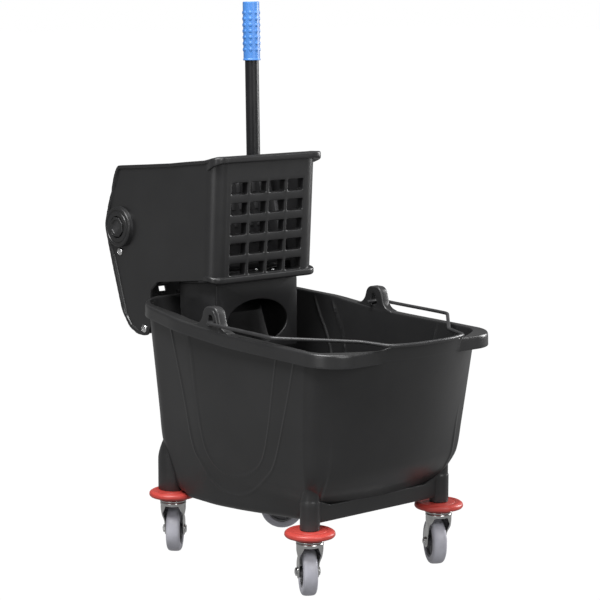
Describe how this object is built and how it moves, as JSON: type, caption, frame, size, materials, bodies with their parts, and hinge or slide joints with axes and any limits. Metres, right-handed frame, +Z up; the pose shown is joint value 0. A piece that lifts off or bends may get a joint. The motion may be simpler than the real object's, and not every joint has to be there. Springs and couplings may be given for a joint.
{
  "type": "mop bucket with wringer",
  "caption": "Wheeled charcoal plastic mop bucket with a geared side-press wringer hooked on its rim, a pull lever with blue grip, a wire bail and swivel casters with red bumpers.",
  "frame": {"origin": "on the floor, under the middle of the bounding box", "axes": "+X towards the pouring spout, -X towards the wringer, +Z up, -Y the side that faces the viewer in the picture"},
  "size_m": [0.72, 0.406, 0.9636],
  "materials": {
    "tub_plastic": "satin moulded charcoal polypropylene",
    "wringer_plastic": "satin moulded charcoal polypropylene",
    "bumper_rubber": "red soft plastic",
    "zinc_steel": "bright zinc plated",
    "ball_steel": "polished bearing steel",
    "wheel_plastic": "grey moulded plastic",
    "grey_tyre": "grey non-marking rubber",
    "black_wire": "black coated steel wire",
    "black_tube": "black coated steel tube",
    "blue_grip": "blue vinyl grip",
    "gear_plastic": "filled nylon",
    "screw_steel": "zinc plated"
  },
  "bodies": {
    "bucket": {"bucket_tub": "tub_plastic", "bumper_front_right": "bumper_rubber", "caster_stem_front_right": "zinc_steel", "bumper_front_left": "bumper_rubber", "caster_stem_front_left": "zinc_steel", "bumper_rear_right": "bumper_rubber", "caster_stem_rear_right": "zinc_steel", "bumper_rear_left": "bumper_rubber", "caster_stem_rear_left": "zinc_steel"},
    "bail": {"bail_wire": "black_wire"},
    "wringer": {"wringer_basket": "wringer_plastic", "rear_cover": "wringer_plastic", "drip_skirt": "wringer_plastic", "cover_screws": "screw_steel", "skirt_screws": "screw_steel", "axle_bushing_right": "gear_plastic", "axle_bushing_left": "gear_plastic", "pivot_cap": "wringer_plastic", "press_hinge_pin": "zinc_steel"},
    "lever": {"lever_axle": "zinc_steel", "drive_gear_right": "gear_plastic", "drive_gear_left": "gear_plastic", "lever_arm": "wringer_plastic", "handle_tube": "black_tube", "handle_grip": "blue_grip", "socket_bolt": "screw_steel", "hub_bolt": "screw_steel"},
    "press": {"press_plate": "wringer_plastic", "sector_gear_right": "gear_plastic", "sector_gear_left": "gear_plastic", "sector_screws": "screw_steel"},
    "caster_front_right": {"caster_fork_front_right": "zinc_steel", "swivel_balls_front_right": "ball_steel", "axle_bolt_front_right": "zinc_steel", "axle_nut_front_right": "zinc_steel"},
    "wheel_front_right": {"wheel_core_front_right": "wheel_plastic", "tyre_front_right": "grey_tyre"},
    "caster_front_left": {"caster_fork_front_left": "zinc_steel", "swivel_balls_front_left": "ball_steel", "axle_bolt_front_left": "zinc_steel", "axle_nut_front_left": "zinc_steel"},
    "wheel_front_left": {"wheel_core_front_left": "wheel_plastic", "tyre_front_left": "grey_tyre"},
    "caster_rear_right": {"caster_fork_rear_right": "zinc_steel", "swivel_balls_rear_right": "ball_steel", "axle_bolt_rear_right": "zinc_steel", "axle_nut_rear_right": "zinc_steel"},
    "wheel_rear_right": {"wheel_core_rear_right": "wheel_plastic", "tyre_rear_right": "grey_tyre"},
    "caster_rear_left": {"caster_fork_rear_left": "zinc_steel", "swivel_balls_rear_left": "ball_steel", "axle_bolt_rear_left": "zinc_steel", "axle_nut_rear_left": "zinc_steel"},
    "wheel_rear_left": {"wheel_core_rear_left": "wheel_plastic", "tyre_rear_left": "grey_tyre"}
  },
  "joints": [
    {"name": "bail_swing", "type": "hinge", "parent": "bucket", "child": "bail", "pos_m": [0.031, 0, 0.4415], "axis": [0, -1, 0], "range_deg": [0, 95]},
    {"name": "wringer_lift", "type": "slide", "parent": "bucket", "child": "wringer", "axis": [0, 0, 1], "range_m": [0, 0.3]},
    {"name": "lever_pull", "type": "hinge", "parent": "wringer", "child": "lever", "pos_m": [-0.315, 0, 0.5638], "axis": [0, -1, 0], "range_deg": [0, 80]},
    {"name": "press_swing", "type": "hinge", "parent": "wringer", "child": "press", "pos_m": [-0.128, 0, 0.5035], "axis": [0, -1, 0], "range_deg": [-26.7, 0]},
    {"name": "caster_swivel_front_right", "type": "hinge", "parent": "bucket", "child": "caster_front_right", "pos_m": [0.228, -0.149, 0.0855], "axis": [0, 0, 1], "continuous": true},
    {"name": "wheel_spin_front_right", "type": "hinge", "parent": "caster_front_right", "child": "wheel_front_right", "pos_m": [0.20966, -0.13686, 0.04], "axis": [-0.5519, -0.8339, 0], "continuous": true},
    {"name": "caster_swivel_front_left", "type": "hinge", "parent": "bucket", "child": "caster_front_left", "pos_m": [0.228, 0.149, 0.0855], "axis": [0, 0, 1], "continuous": true},
    {"name": "wheel_spin_front_left", "type": "hinge", "parent": "caster_front_left", "child": "wheel_front_left", "pos_m": [0.20895, 0.16, 0.04], "axis": [-0.5, -0.866, 0], "continuous": true},
    {"name": "caster_swivel_rear_right", "type": "hinge", "parent": "bucket", "child": "caster_rear_right", "pos_m": [-0.139, -0.142, 0.0855], "axis": [0, 0, 1], "continuous": true},
    {"name": "wheel_spin_rear_right", "type": "hinge", "parent": "caster_rear_right", "child": "wheel_rear_right", "pos_m": [-0.15428, -0.12618, 0.04], "axis": [-0.7193, -0.6947, 0], "continuous": true},
    {"name": "caster_swivel_rear_left", "type": "hinge", "parent": "bucket", "child": "caster_rear_left", "pos_m": [-0.139, 0.142, 0.0855], "axis": [0, 0, 1], "continuous": true},
    {"name": "wheel_spin_rear_left", "type": "hinge", "parent": "caster_rear_left", "child": "wheel_rear_left", "pos_m": [-0.15343, 0.1254, 0.04], "axis": [0.7547, -0.6561, 0], "continuous": true}
  ],
  "couplings": [
    {"joint": "press_swing", "follows": "lever_pull", "ratio": -0.33333}
  ]
}
